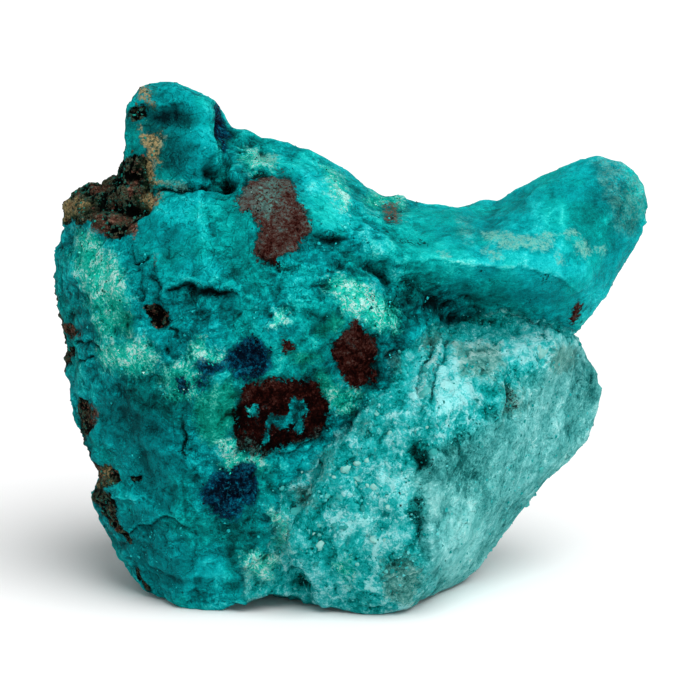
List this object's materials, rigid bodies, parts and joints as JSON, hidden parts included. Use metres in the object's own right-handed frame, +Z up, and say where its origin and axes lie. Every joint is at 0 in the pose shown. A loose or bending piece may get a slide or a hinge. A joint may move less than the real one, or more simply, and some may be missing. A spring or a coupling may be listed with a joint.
{
  "type": "chrysocolla specimen",
  "caption": "Free-standing rough hand specimen of blue-green chrysocolla with a raised horn, a stub pillar and dark red and deep blue mineral patches.",
  "frame": {"origin": "centre of the stone's bounding box, on the surface that it stands on", "axes": "+X along the stone's longest side, towards the tip of the horn; -Y towards the side with the red and blue patches; +Z up"},
  "size_m": [0.0692, 0.0394, 0.0598],
  "materials": {
    "chrysocolla": "waxy to earthy broken stone"
  },
  "bodies": {
    "root": {"chrysocolla_stone": "chrysocolla"}
  },
  "joints": []
}
